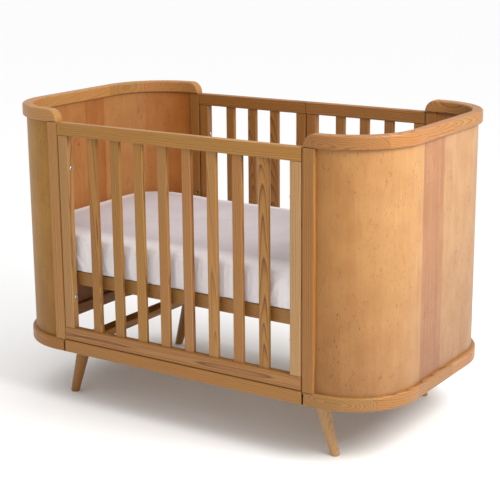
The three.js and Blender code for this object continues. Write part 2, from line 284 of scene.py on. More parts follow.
# ========================================
# Shader building
# ========================================
class Graph:
    """Adds nodes to a node tree. An input that is a socket is linked, and anything else is set."""

    def __init__(self, tree):
        self.tree = tree

    def feed(self, socket, value):
        if isinstance(value, bpy.types.NodeSocket):
            self.tree.links.new(value, socket)
        elif value is not None:
            socket.default_value = value

    def node(self, kind, inputs=(), **settings):
        made = self.tree.nodes.new(kind)
        for key, value in settings.items():
            setattr(made, key, value)
        pairs = inputs.items() if isinstance(inputs, dict) else enumerate(inputs)
        for key, value in pairs:
            self.feed(made.inputs[key], value)
        return made

    def math(self, operation, *values, clamp=False):
        made = self.node("ShaderNodeMath", values, operation=operation, use_clamp=clamp)
        return made.outputs[0]

    def times(self, first, second):
        return self.math("MULTIPLY", first, second)

    def plus(self, first, second):
        return self.math("ADD", first, second)

    def minus(self, first, second):
        return self.math("SUBTRACT", first, second)

    def vector(self, operation, *values):
        return self.node("ShaderNodeVectorMath", values, operation=operation).outputs[0]

    def join(self, x, y, z):
        return self.node("ShaderNodeCombineXYZ", (x, y, z)).outputs[0]

    def split(self, vector):
        return self.node("ShaderNodeSeparateXYZ", (vector,)).outputs

    def noise(self, vector, scale=1.0, detail=2.0, roughness=0.5):
        inputs = {"Vector": vector, "Scale": scale, "Detail": detail, "Roughness": roughness}
        return self.node("ShaderNodeTexNoise", inputs).outputs["Fac"]

    def remap(self, value, low, high, to_low=0.0, to_high=1.0, smooth=False):
        kind = "SMOOTHSTEP" if smooth else "LINEAR"
        made = self.node("ShaderNodeMapRange", (value, low, high, to_low, to_high), interpolation_type=kind)
        return made.outputs[0]

    def mix(self, factor, first, second, blend="MIX"):
        made = self.node("ShaderNodeMix", data_type="RGBA", blend_type=blend, clamp_factor=True)
        self.feed(made.inputs[0], factor)
        self.feed(made.inputs[6], first)
        self.feed(made.inputs[7], second)
        return made.outputs[2]

    def object_spot(self):
        return self.node("ShaderNodeTexCoord").outputs["Object"]

    def emboss(self, shader, strength, distance, height):
        inputs = {"Strength": strength, "Distance": distance, "Height": height}
        self.feed(shader.inputs["Normal"], self.node("ShaderNodeBump", inputs).outputs[0])

    def stain(self, base, mask, strength, shade):
        """Multiplies a colour by a shade, where a mask says and as strongly as the strength says."""
        return self.mix(self.times(mask, strength), base, colour(*shade), "MULTIPLY")

    def ramp(self, value, *stops):
        made = self.node("ShaderNodeValToRGB", (value,))
        points = made.color_ramp.elements
        while len(points) < len(stops):
            points.new(0.5)
        for point, (position, level) in zip(points, stops):
            point.position = position
            point.color = (level, level, level, 1)
        return made.outputs[0]


def new_material(name):
    material = bpy.data.materials.new(name)
    material.use_nodes = True
    graph = Graph(material.node_tree)
    shader = material.node_tree.nodes["Principled BSDF"]
    return material, graph, shader


def colour(red, green, blue):
    return (red, green, blue, 1.0)


# ---- Wood ----
def make_grain_group():
    """Growth rings, fibres and pores from a place in a board, whose grain runs along X.

    The rings circle the X axis, so a board beside the axis shows straight lines on one face and
    arches on the next, and its ends show arcs. Outputs run from 0 to 1.
    """
    group = bpy.data.node_groups.new("wood_grain", "ShaderNodeTree")
    group.interface.new_socket("Place", in_out="INPUT", socket_type="NodeSocketVector")
    for title in ("Ring", "Fibre", "Pore", "Cloud"):
        group.interface.new_socket(title, in_out="OUTPUT", socket_type="NodeSocketFloat")
    graph = Graph(group)
    place = graph.node("NodeGroupInput").outputs[0]
    result = graph.node("NodeGroupOutput")

    x, y, z = graph.split(place)
    slow = graph.join(
        graph.times(x, 2.2),
        graph.times(y, 9.0),
        graph.times(z, 9.0),
    )
    bend = graph.node("ShaderNodeTexNoise", {"Vector": slow, "Scale": 1.0, "Detail": 2.0, "Roughness": 0.45})
    sway = graph.vector("SUBTRACT", bend.outputs["Color"], (0.5, 0.5, 0.5))
    _, sway_y, sway_z = graph.split(sway)
    y2 = graph.math("MULTIPLY_ADD", sway_y, 0.022, y)
    z2 = graph.math("MULTIPLY_ADD", sway_z, 0.022, z)
    reach_squared = graph.plus(graph.times(y2, y2), graph.times(z2, z2))
    reach = graph.math("SQRT", reach_squared)
    seasons = graph.noise(graph.join(graph.times(reach, 55.0), 0.0, 0.0), 1.0, 1.0)
    count = graph.math("MULTIPLY_ADD", seasons, 3.2, graph.times(reach, 230.0))
    saw = graph.math("FRACT", count)
    ring = graph.ramp(saw, (0.0, 0.62), (0.10, 0.05), (0.55, 0.16), (0.86, 0.62), (0.955, 1.0), (1.0, 0.62))

    def stretched(scale_x, scale_yz, detail):
        vector = graph.join(
            graph.times(x, scale_x),
            graph.times(y, scale_yz),
            graph.times(z, scale_yz),
        )
        return graph.noise(vector, 1.0, detail, 0.6)

    fibre = graph.remap(stretched(9.0, 420.0, 3.0), 0.3, 0.7)
    pore = graph.remap(stretched(70.0, 1500.0, 1.0), 0.60, 0.74)
    cloud = graph.remap(stretched(3.0, 16.0, 2.0), 0.28, 0.72)
    graph.feed(result.inputs["Ring"], ring)
    graph.feed(result.inputs["Fibre"], fibre)
    graph.feed(result.inputs["Pore"], pore)
    graph.feed(result.inputs["Cloud"], cloud)
    return group


GRAIN = make_grain_group()
LIGHT_WOOD = (0.398, 0.205, 0.050)
DARK_WOOD = (0.120, 0.040, 0.010)
GRAIN_ORDER = {"x": (0, 1, 2), "y": (1, 2, 0), "z": (2, 0, 1)}


def finish_wood(graph, shader, place, contrast, tint, light=LIGHT_WOOD, dark=DARK_WOOD):
    """Colour, gloss and relief of oiled wood from a place in its board."""
    grain = graph.node("ShaderNodeGroup", node_tree=GRAIN)
    graph.feed(grain.inputs[0], place)
    ring, fibre, pore, cloud = (grain.outputs[k] for k in ("Ring", "Fibre", "Pore", "Cloud"))
    early = colour(*(c * t for c, t in zip(light, tint)))
    late = colour(*(c * t for c, t in zip(dark, tint)))
    rings = graph.mix(graph.times(ring, contrast), early, late)
    warm = graph.stain(rings, cloud, 0.5, (1.12, 0.93, 0.78))
    fibres = graph.stain(warm, fibre, 0.42, (0.66, 0.56, 0.46))
    pores = graph.stain(fibres, pore, 0.45, (0.55, 0.40, 0.30))
    graph.feed(shader.inputs["Base Color"], pores)
    gloss = graph.remap(graph.plus(ring, fibre), 0.0, 2.0, 0.42, 0.56)
    graph.feed(shader.inputs["Roughness"], gloss)
    shader.inputs["Specular IOR Level"].default_value = 0.28
    shader.inputs["Coat Weight"].default_value = 0.14
    shader.inputs["Coat Roughness"].default_value = 0.20
    relief = graph.plus(graph.times(ring, -0.35), graph.times(pore, -0.8))
    relief = graph.plus(relief, graph.times(fibre, -0.3))
    graph.emboss(shader, 0.25, 0.00025, relief)


def wood(name, middle, axis, figure="straight", contrast=None, tint=None):
    """Solid wood for one board about a middle point, with its own place in the tree.

    figure is straight, where the tree's heart lies beside the board, or arched, where it lies
    behind its face, so that the rings cross the face as arches.
    """
    chance = random.Random(name)
    material, graph, shader = new_material(name)
    if contrast is None:
        contrast = chance.uniform(0.58, 0.92)
    shade = chance.uniform(0.90, 1.06)
    if tint is None:
        tint = (shade * 1.02, shade * chance.uniform(0.945, 1.04), shade * chance.uniform(0.80, 1.15))
    distance = chance.uniform(0.07, 0.14) if figure == "straight" else chance.uniform(0.030, 0.045)
    heart = {"straight": {"x": math.pi / 2, "y": math.pi / 2, "z": 0.0},
             "arched": {"x": 0.0, "y": 0.0, "z": math.pi / 2}}[figure][axis]
    heart += chance.uniform(-0.3, 0.3)
    lean = 0.055 if figure == "arched" else 0.006
    fineness = 1.9 if figure == "arched" else chance.uniform(0.9, 1.35)
    turn = Euler((0.0, chance.uniform(-lean, lean), chance.uniform(-lean, lean) + lean * 0.6)).to_matrix()
    centre = Vector([middle[i] for i in GRAIN_ORDER[axis]])
    offset = Vector((chance.uniform(2, 12), distance * math.cos(heart), distance * math.sin(heart)))
    shift = offset - turn @ centre
    parts = graph.split(graph.object_spot())
    ordered = graph.join(*(parts[i] for i in GRAIN_ORDER[axis]))
    placing = {"Vector": ordered, "Location": shift, "Rotation": turn.to_euler()}
    mapped = graph.node("ShaderNodeMapping", placing)
    finer = graph.vector("MULTIPLY", mapped.outputs[0], (1.0, fineness, fineness))
    finish_wood(graph, shader, finer, contrast, tint)
    return material


FINGER_PITCH = 0.0044  # of the teeth where two bent boards meet
FINGER_LENGTH = 0.0045
GLUE_LINE = 0.0006
TAPER = 0.075  # how far a bent board leans across its tree, for its length


def bent_wood(name, turn, low, high, joints, contrast, tint):
    """Solid wood for an end's rail, sawn from straight boards that are finger-jointed end to end.

    joints are the distances of the finger joints along the rail. Each board's grain runs straight along
    its chord, so the grain turns at each joint, and each board has its own place in its tree.
    """
    chance = random.Random(name)
    material, graph, shader = new_material(name)
    along = graph.node("ShaderNodeAttribute", attribute_name="along").outputs["Fac"]
    spot = graph.object_spot()
    finger = graph.math("PINGPONG", graph.split(spot)[2], FINGER_PITCH / 2)
    toothed = graph.math("MULTIPLY_ADD", finger, FINGER_LENGTH / (FINGER_PITCH / 2), along)
    stations = end_path(RAIL_WIDTH / 2, END_START)
    ends = [0.0, *joints, stations[-1][0]]
    spin = Matrix.Rotation(turn, 3, "Z")
    values = []
    for start, stop in zip(ends, ends[1:]):
        first, _ = at_distance(stations, start)
        last, _ = at_distance(stations, stop)
        chord = spin @ (last - first)
        heading = math.atan2(chord.y, chord.x)
        middle = Matrix.Rotation(-heading, 3, "Z") @ (spin @ ((first + last) / 2))
        depth = chance.uniform(0.022, 0.048)
        tilt = chance.uniform(-0.5, 0.5) if chance.random() < 0.6 else chance.uniform(0.8, 1.4)
        shift = (
            chance.uniform(2.0, 12.0),
            depth * math.cos(tilt) - middle.y - TAPER * middle.x,
            depth * math.sin(tilt) - (low + high) / 2 - TAPER * middle.x,
        )
        values.append((heading, *shift, chance.uniform(0.88, 1.05), chance.uniform(0.94, 1.04)))
    steps = list(values[0])
    seam = 0.0
    for k, joint in enumerate(joints):
        passed = graph.math("GREATER_THAN", toothed, joint)
        change = [b - a for a, b in zip(values[k], values[k + 1])]
        steps = [graph.math("MULTIPLY_ADD", passed, c, level) for c, level in zip(change, steps)]
        near = graph.math("ABSOLUTE", graph.minus(toothed, joint))
        seam = graph.math("MAXIMUM", seam, graph.remap(near, 0.0, GLUE_LINE, 1.0, 0.0))
    heading, shift_x, shift_y, shift_z, shade, warmth = steps
    spun = graph.node(
        "ShaderNodeVectorRotate",
        {"Vector": spot, "Angle": graph.times(heading, -1.0)},
        rotation_type="Z_AXIS",
    ).outputs[0]
    placed = graph.vector("ADD", spun, graph.join(shift_x, shift_y, shift_z))
    slope = graph.times(graph.split(spun)[0], TAPER)
    placed = graph.vector("ADD", placed, graph.join(0.0, slope, slope))
    finish_wood(graph, shader, placed, contrast, tint)
    base = shader.inputs["Base Color"].links[0].from_socket
    warm = graph.times(shade, warmth)
    level = graph.node("ShaderNodeCombineColor", (shade, warm, warm)).outputs[0]
    shaded = graph.mix(1.0, base, level, "MULTIPLY")
    seamed = graph.mix(graph.times(seam, 0.6), shaded, colour(0.10, 0.045, 0.015))
    graph.feed(shader.inputs["Base Color"], seamed)
    return material


TAN_LEAF = (0.408, 0.228, 0.094)
HONEY_LEAF = (0.372, 0.198, 0.034)
RED_LEAF = (0.300, 0.142, 0.074)
PINK_LEAF = (0.378, 0.228, 0.122)
AMBER_LEAF = (0.385, 0.165, 0.046)
GOLD_LEAF = (0.400, 0.190, 0.066)
BROWN_LEAF = (0.330, 0.118, 0.028)


def veneer(name, leaves, inner_leaves, marks=()):
    """Sliced veneer on bent plywood: upright fibres, flecks, and leaves of different tints, with painted
    shade on the arms and low down, and painted glints.

    leaves are (distance along, tint) of each leaf's start on the outer face, and inner_leaves on the
    inner face.
    """
    material, graph, shader = new_material(name)
    uv = graph.node("ShaderNodeUVMap", uv_map="sheet").outputs[0]
    u, v, _ = graph.split(uv)
    inner = graph.node("ShaderNodeAttribute", attribute_name="inner").outputs["Fac"]

    def streaks(across, upright, detail, seed, low, high):
        vector = graph.join(graph.times(u, across), graph.times(v, upright), seed)
        return graph.remap(graph.noise(vector, 1.0, detail, 0.55), low, high)

    broken = streaks(95.0, 1.6, 4.0, 41.0, 0.05, 0.62)

    def leaf_tints(steps, ground):
        tint = colour(*steps[0][1])
        for start, shade in steps[1:]:
            wander = graph.math("MULTIPLY_ADD", graph.noise(graph.join(0.0, v, start), 7.0), 0.003, u)
            passed = graph.math("GREATER_THAN", wander, start)
            if shade == HONEY_LEAF:
                streaked = colour(*shade)
            else:
                streaked = graph.mix(broken, colour(*ground), colour(*shade))
            tint = graph.mix(passed, tint, streaked)
        return tint

    tint = graph.mix(inner, leaf_tints(leaves, TAN_LEAF), leaf_tints(inner_leaves, GOLD_LEAF))
    # Painted shade: the front and rear arms of an end, which face away from the key light, are darkened and
    # made more amber.
    painted_arm_shade = graph.remap(graph.math("ABSOLUTE", graph.minus(u, 0.475)), 0.26, 0.46)
    # Painted shade: the veneer darkens towards the foot of the panel, where less light falls.
    painted_low_shade = graph.remap(v, BASE_HIGH.z, BASE_HIGH.z + 0.36, 1.0, 0.0)

    fibre = streaks(260.0, 5.0, 4.0, 1.0, 0.28, 0.72)
    band = streaks(38.0, 1.5, 3.0, 5.0, 0.3, 0.7)
    mottle = streaks(20.0, 10.0, 4.0, 9.0, 0.36, 0.66)
    # Painted highlight: soft lighter patches in the colour stand for the glints of the satin finish.
    painted_glint = streaks(34.0, 22.0, 3.0, 53.0, 0.42, 0.72)
    fleck = streaks(330.0, 60.0, 2.0, 13.0, 0.62, 0.72)
    fleck_field = streaks(12.0, 9.0, 2.0, 17.0, 0.36, 0.62)
    flecks = graph.times(fleck, fleck_field)
    knot = streaks(130.0, 45.0, 1.0, 23.0, 0.74, 0.82)
    arc_u = graph.math("MULTIPLY_ADD", graph.noise(graph.join(u, v, 3.0), 13.0, 3.0), 0.16, u)
    arcs = graph.math("FRACT", graph.times(arc_u, 34.0))
    arc = graph.remap(graph.math("ABSOLUTE", graph.minus(arcs, 0.5)), 0.0, 0.055, 1.0, 0.0)
    arc_gaps = streaks(90.0, 60.0, 2.0, 37.0, 0.42, 0.60)
    arc_field = streaks(8.0, 7.0, 1.0, 31.0, 0.38, 0.60)
    arc = graph.times(arc, graph.times(arc_gaps, arc_field))

    tone = graph.stain(tint, painted_arm_shade, 0.80, (0.84, 0.68, 0.40))
    tone = graph.stain(tone, painted_low_shade, 0.85, (0.76, 0.72, 0.74))
    tone = graph.stain(tone, band, 0.40, (0.86, 0.77, 0.66))
    tone = graph.stain(tone, mottle, 0.75, (0.86, 0.78, 0.70))
    tone = graph.stain(tone, painted_glint, 0.50, (1.14, 1.10, 1.02))
    tone = graph.stain(tone, fibre, 0.24, (0.74, 0.64, 0.54))
    tone = graph.stain(tone, arc, 0.66, (0.50, 0.34, 0.22))
    tone = graph.stain(tone, flecks, 0.80, (0.42, 0.24, 0.14))
    tone = graph.stain(tone, knot, 0.85, (0.28, 0.13, 0.07))
    for mark_u, mark_v, half_u, half_v in marks:
        off_u = graph.times(graph.minus(u, mark_u), 1 / half_u)
        off_v = graph.times(graph.minus(v, mark_v), 1 / half_v)
        off = graph.plus(graph.times(off_u, off_u), graph.times(off_v, off_v))
        spotted = graph.times(graph.remap(off, 0.35, 1.0, 0.8, 0.0), inner)
        tone = graph.mix(spotted, tone, colour(0.10, 0.035, 0.012))
    graph.feed(shader.inputs["Base Color"], tone)
    graph.feed(shader.inputs["Roughness"], graph.remap(fibre, 0.0, 1.0, 0.42, 0.54))
    shader.inputs["Specular IOR Level"].default_value = 0.24
    shader.inputs["Coat Weight"].default_value = 0.06
    shader.inputs["Coat Roughness"].default_value = 0.24
    relief = graph.plus(graph.times(fibre, -0.4), graph.times(flecks, -0.8))
    graph.emboss(shader, 0.18, 0.0002, relief)
    return material


THREAD_PITCH = 0.0011


def sheet_cotton(name):
    """A white cotton sheet: fine plain weave, soft sheen and faint laundry creases, with painted shade that
    darkens and greys its top.
    """
    material, graph, shader = new_material(name)
    spot = graph.object_spot()
    x, y, z = graph.split(spot)
    side = graph.plus(x, y)
    across = graph.minus(graph.minus(x, y), z)
    warp = graph.math("SINE", graph.times(side, 2 * math.pi / THREAD_PITCH))
    weft = graph.math("SINE", graph.times(across, 2 * math.pi / THREAD_PITCH))
    weave = graph.times(warp, weft)
    drawn = graph.join(graph.times(x, 30.0), graph.times(y, 700.0), z)
    slub = graph.noise(drawn, 1.0, 2.0)
    cloud = graph.noise(spot, 9.0, 3.0)
    from_end = graph.minus(MATTRESS_HIGH.x, graph.math("ABSOLUTE", x))
    from_side = graph.minus(MATTRESS_HIGH.y, graph.math("ABSOLUTE", y))
    inward = graph.remap(graph.math("MINIMUM", from_end, from_side), 0.012, 0.075)
    # Painted shade: the sheet's top takes a darker, greyer colour than its sides, for the lesser light that
    # falls on it.
    painted_top_mask = graph.times(inward, graph.remap(z, MATTRESS_HIGH.z - 0.04, MATTRESS_HIGH.z - 0.01))
    sides = graph.mix(graph.remap(cloud, 0.35, 0.7), colour(0.84, 0.81, 0.825), colour(0.78, 0.745, 0.765))
    painted_top_shade = graph.mix(graph.remap(cloud, 0.35, 0.7), colour(0.49, 0.435, 0.46), colour(0.43, 0.38, 0.40))
    tone = graph.mix(painted_top_mask, sides, painted_top_shade)
    tone = graph.mix(graph.remap(slub, 0.45, 0.75, 0.0, 0.25), tone, colour(0.90, 0.87, 0.88), "MULTIPLY")
    graph.feed(shader.inputs["Base Color"], tone)
    shader.inputs["Roughness"].default_value = 0.85
    shader.inputs["Specular IOR Level"].default_value = 0.2
    shader.inputs["Sheen Weight"].default_value = 0.25
    shader.inputs["Sheen Roughness"].default_value = 0.5
    height = graph.math("MULTIPLY_ADD", weave, 0.5, slub)
    graph.emboss(shader, 0.25, 0.0002, height)
    return material


def plated_steel(name):
    material, graph, shader = new_material(name)
    spot = graph.object_spot()
    wear = graph.noise(spot, 900.0, 3.0)
    tone = graph.mix(graph.remap(wear, 0.35, 0.65), colour(0.36, 0.36, 0.355), colour(0.50, 0.50, 0.49))
    graph.feed(shader.inputs["Base Color"], tone)
    shader.inputs["Metallic"].default_value = 1.0
    graph.feed(shader.inputs["Roughness"], graph.remap(wear, 0.3, 0.7, 0.20, 0.38))
    graph.emboss(shader, 0.1, 0.0001, wear)
    return material


PLY_PAIR = 0.0028  # height of a light and a dark ply together


def birch_deck(name):
    """Pale rotary-cut plywood for the deck under the mattress."""
    material, graph, shader = new_material(name)
    x, y, z = graph.split(graph.object_spot())
    broad = graph.join(graph.times(x, 5.0), graph.times(y, 28.0), z)
    wave = graph.noise(broad, 1.0, 3.0)
    ring = graph.math("FRACT", graph.times(wave, 14.0))
    plies = graph.math("GREATER_THAN", graph.math("FRACT", graph.times(z, 1 / PLY_PAIR)), 0.5)
    fine = graph.join(graph.times(x, 12.0), graph.times(y, 500.0), z)
    fibre = graph.noise(fine, 1.0, 2.0)
    late = graph.remap(ring, 0.2, 1.0, 0.0, 0.5)
    tone = graph.mix(late, colour(0.60, 0.44, 0.27), colour(0.48, 0.31, 0.17))
    tone = graph.mix(graph.remap(fibre, 0.4, 0.7, 0.0, 0.4), tone, colour(0.80, 0.72, 0.62), "MULTIPLY")
    tone = graph.stain(tone, plies, 0.15, (0.62, 0.50, 0.38))
    graph.feed(shader.inputs["Base Color"], tone)
    shader.inputs["Roughness"].default_value = 0.62
    graph.emboss(shader, 0.2, 0.0002, fibre)
    return material


# ========================================
# The ends
# ========================================
ENDS = {"right": 0.0, "left": math.pi}
RAIL_INSET = RAIL_WIDTH / 2
RAIL_EDGE = 5 * MM  # rounding of the rails' long edges
CAP_END_RADIUS = 33 * MM  # rounding of the cap rails' ends, seen from the side

CAP_JOINTS = [0.211, 0.345, 0.495, 0.655, 0.79]
CAP_CONTRAST = {"right": 0.60, "left": 0.36}
CAP_TINT = {"right": (0.91, 0.87, 1.02), "left": (1.12, 1.10, 1.30)}
FOOT_TINT = {"right": (0.90, 0.88, 1.00), "left": (0.86, 0.76, 0.46)}
BASE_JOINTS = [0.19, 0.33, 0.53, 0.70, 0.82]
FOOT_CONTRAST = 0.75

# A knot and a fine open split on the left end's inner face, as (along, height, half width, half height).
MARKS = {"left": [(0.455, 0.690, 0.0036, 0.0060), (0.180, 0.765, 0.0008, 0.0170)], "right": []}


def make_panel(end, turn):
    low = BASE_HIGH.z - 1 * MM
    high = CAP_LOW.z + 1 * MM
    inset = PANEL_INSET + PANEL_THICK / 2
    start = POST_HIGH.x - 1 * MM
    piece = bent_rail(f"{end}_end_plywood", turn, inset, start, low, high, PANEL_THICK, 0.4 * MM)
    along = np.empty(len(piece.data.vertices), np.float32)
    piece.data.attributes["along"].data.foreach_get("value", along)
    sheet = piece.data.uv_layers.new(name="sheet")
    spun = -turn
    inner = piece.data.attributes.new("inner", "FLOAT", "FACE")
    for polygon in piece.data.polygons:
        for loop in polygon.loop_indices:
            vertex = piece.data.loops[loop].vertex_index
            sheet.data[loop].uv = (along[vertex], piece.data.vertices[vertex].co.z)
        middle = Matrix.Rotation(spun, 4, "Z") @ polygon.center
        normal = Matrix.Rotation(spun, 4, "Z") @ polygon.normal
        away = Vector((max(middle.x - (HALF_LENGTH - END_RADIUS), 0.0), middle.y, 0.0))
        inner.data[polygon.index].value = float(normal.dot(away) < 0)
    last_leaf = HONEY_LEAF if end == "left" else TAN_LEAF
    leaves = [(0.0, TAN_LEAF), (0.315, RED_LEAF), (0.435, PINK_LEAF), (0.70, last_leaf)]
    inner_leaves = [
        (0.0, AMBER_LEAF),
        (0.16, GOLD_LEAF),
        (0.33, BROWN_LEAF),
        (0.42, AMBER_LEAF),
        (0.66, GOLD_LEAF),
    ]
    material = veneer(f"{end}_veneer", leaves, inner_leaves, MARKS[end])
    dress(piece, FRAME_BODY, material, "bent_veneer", f"{end}_end_panel")


def make_end_rails(end, turn):
    low, high = CAP_LOW.z, CAP_HIGH.z
    cap = bent_rail(
        f"{end}_cap", turn, RAIL_INSET, END_START, low, high, RAIL_WIDTH, RAIL_EDGE, end_radius=CAP_END_RADIUS
    )
    cap_wood = bent_wood(
        f"{end}_cap_wood", turn, low, high, CAP_JOINTS, CAP_CONTRAST[end], CAP_TINT[end]
    )
    dress(cap, FRAME_BODY, cap_wood, "cap_rail_wood", f"{end}_cap_rail")
    low, high = BASE_LOW.z, BASE_HIGH.z
    foot = bent_rail(f"{end}_foot_rail", turn, RAIL_INSET, END_START, low, high, RAIL_WIDTH, RAIL_EDGE)
    foot_wood = bent_wood(
        f"{end}_foot_wood", turn, low, high, BASE_JOINTS, FOOT_CONTRAST, FOOT_TINT[end]
    )
    dress(foot, FRAME_BODY, foot_wood, "solid_wood", f"{end}_base_rail")


for end, turn in ENDS.items():
    make_panel(end, turn)
    make_end_rails(end, turn)

# ========================================
# Straight boards
# ========================================
ARCHED = {"front_slat_1": 1.0, "front_slat_8": 1.0, "rear_left_slat_2": 0.9, "rear_left_slat_3": 0.9,
          "front_bottom_rail": 0.85, "front_slat_6": 0.6}


BOARD_TINTS = {
    # Painted light: the right stile is tinted much paler for the light that it catches; both stiles are also
    # paler wood than the slats.
    "front_right_stile": (1.24, 1.52, 2.60),
    "front_left_stile": (1.08, 1.17, 1.55),
    "front_right_post": (0.87, 0.80, 0.76),
}
# Painted shade: the rear side's boards, seen across the inside of the crib where shade falls, are darkened.
REAR_PAINTED_SHADE = (0.78, 0.69, 0.62)


def straight_board(node, axis, radii, slot="solid_wood", body=FRAME_BODY, trim=0.0, **look):
    """Remakes a straight node as an eased board. trim shortens both of its ends."""
    low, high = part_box(node)
    low, high = low.copy(), high.copy()
    along = "xyz".index(axis)
    low[along] += trim
    high[along] -= trim
    piece = board(f"{node}_board", low, high, axis, [r * MM for r in radii])
    figure = "arched" if node in ARCHED else "straight"
    look.setdefault("contrast", ARCHED.get(node))
    if node in BOARD_TINTS:
        look.setdefault("tint", BOARD_TINTS[node])
    elif node.startswith("rear"):
        look.setdefault("tint", REAR_PAINTED_SHADE)
    material = wood(f"{node}_wood", (low + high) / 2, axis, figure, **look)
    return dress(piece, body, material, slot, node)


def side_boards(prefix, slats, stiles):
    for rail in ("top", "bottom"):
        straight_board(f"{prefix}_{rail}_rail", "x", (3, 3, 3, 3))
    for label in stiles:
        straight_board(f"{prefix}_{label}_stile", "z", (5, 5, 5, 5))
    for k in range(slats):
        straight_board(f"{prefix}_slat_{k + 1}", "z", (4, 4, 4, 4), "slat_wood", trim=7 * MM)


side_boards("front", 8, ("left", "right"))
side_boards("rear_left", 3, ("outer", "inner"))
side_boards("rear_right", 3, ("inner", "outer"))
for place in ("front", "rear"):
    straight_board(f"{place}_plinth", "x", (5, 5, 5, 5))
    for end in ENDS:
        straight_board(f"{place}_{end}_post", "z", (4, 4, 4, 4))
for end in ENDS:
    straight_board(f"{end}_leg_beam", "y", (3, 3, 3, 3))
    straight_board(f"base_{end}_rail", "y", (1, 1, 1, 1), body=BASE_BODY)
for place in ("front", "rear"):
    straight_board(f"base_{place}_rail", "x", (2, 2, 2, 2), body=BASE_BODY)
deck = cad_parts["base_deck"]
deck.data.materials.clear()
deck.data.materials.append(birch_deck("deck_wood"))


# ========================================
# Legs and bolts
# ========================================
LEG_FOOT_RADIUS = 12.5 * MM
LEG_TOP_RADIUS = 21.0 * MM
LEG_LEAN = 46 / 156  # how far a leg's foot stands out, for its height
FOOT_ROUND = 3 * MM


def make_leg(place, end):
    node = f"{place}_{end}_leg"
    low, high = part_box(node)
    top = high.z
    side = 1 if end == "right" else -1
    profile = [(0, 0)]
    for k in range(5):
        a = math.pi / 2 * k / 4
        profile.append((LEG_FOOT_RADIUS - FOOT_ROUND * (1 - math.sin(a)), FOOT_ROUND * (1 - math.cos(a))))
    for k in range(1, 9):
        share = k / 8
        height = FOOT_ROUND + (top - FOOT_ROUND) * share
        profile.append((LEG_FOOT_RADIUS + (LEG_TOP_RADIUS - LEG_FOOT_RADIUS) * height / top, height))
    profile.append((0, top))
    piece = turned(f"{node}_turned", profile)
    foot_x = side * (max(abs(low.x), abs(high.x)) - LEG_FOOT_RADIUS)
    foot_y = (low.y + high.y) / 2
    for vertex in piece.data.vertices:
        vertex.co.x += foot_x - side * LEG_LEAN * vertex.co.z
        vertex.co.y += foot_y
    # Painted light and shade on legs of one batch: the right legs are tinted paler, for pale wood and for the
    # key light that falls on them, and the left legs darker, for the shade that the crib casts on them.
    tint = (1.14, 1.42, 2.6) if end == "right" else (0.80, 0.76, 0.80)
    material = wood(f"{node}_wood", Vector((foot_x, foot_y, top / 2)), "z", contrast=0.35, tint=tint)
    dress(piece, FRAME_BODY, material, "leg_wood", node)


for place in ("front", "rear"):
    for end in ENDS:
        make_leg(place, end)

STEEL = plated_steel("zinc_plate")
HEAD_RADIUS = 6.5 * MM
HEAD_HEIGHT = 4.0 * MM
HEAD_LIP = 0.4 * MM
SOCKET_RADIUS = 2.4 * MM
SHANK_RADIUS = 3.0 * MM


def bolt_mesh(name, length):
    """A dome-head bolt along +Z with a hexagon socket; its head's seat is at the origin."""
    steps = 10
    profile = [(0, -length), (SHANK_RADIUS, -length), (SHANK_RADIUS, 0), (HEAD_RADIUS - HEAD_LIP, 0)]
    profile.append((HEAD_RADIUS, HEAD_LIP))
    mouth = SOCKET_RADIUS / HEAD_RADIUS
    span = math.acos(mouth)
    for k in range(1, steps + 1):
        a = span * k / steps
        height = HEAD_LIP + (HEAD_HEIGHT - HEAD_LIP) * math.sin(a) / math.sin(span)
        profile.append((HEAD_RADIUS * math.cos(a), height))
    profile.append((SOCKET_RADIUS * 0.98, HEAD_HEIGHT - 2.2 * MM))
    profile.append((0, HEAD_HEIGHT - 2.6 * MM))
    sides = 36
    piece = turned(name, profile, sides)
    for vertex in piece.data.vertices:
        reach = math.hypot(vertex.co.x, vertex.co.y)
        if 0 < reach <= SOCKET_RADIUS * 1.001 and vertex.co.z > 0:
            a = math.atan2(vertex.co.y, vertex.co.x) % (math.pi / 3) - math.pi / 6
            scale = math.cos(math.pi / 6) / math.cos(a)
            vertex.co.x *= scale
            vertex.co.y *= scale
    return piece


def make_bolt(node, inward):
    """Remakes a bolt whose head points along inward, which is +1 or -1 on X."""
    low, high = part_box(node)
    length = high.x - low.x - HEAD_HEIGHT
    piece = bolt_mesh(f"{node}_steel", length)
    seat = high.x - HEAD_HEIGHT if inward > 0 else low.x + HEAD_HEIGHT
    place = Matrix.Translation((seat, (low.y + high.y) / 2, (low.z + high.z) / 2))
    piece.data.transform(place @ Matrix.Rotation(inward * math.pi / 2, 4, "Y"))
    dress(piece, FRAME_BODY, STEEL, "bolt_steel", node)


for level in ("upper", "lower"):
    for place in ("front", "rear"):
        make_bolt(f"{place}_left_{level}_bolt", 1)
        make_bolt(f"{place}_right_{level}_bolt", -1)
    make_bolt(f"rear_middle_{level}_bolt", -1)


BASE_LEVELS = (-0.172, 0.0, 0.128)
BASE_RAIL_LOW, BASE_RAIL_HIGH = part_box("base_front_rail")
BASE_BOLT_X = 0.405
BASE_BOLT_Z = (BASE_RAIL_LOW.z + BASE_RAIL_HIGH.z) / 2
HOLE_RADIUS = 3.5 * MM
HOLE_DEPTH = 13 * MM
INSERT_RADIUS = 5.2 * MM
INSERT_SINK = 0.2 * MM
SPACER_RADIUS = 4.8 * MM
SPACER_BORE_RADIUS = 3.2 * MM
BASE_BOLT_REACH = 11 * MM  # how far a base bolt goes into its insert


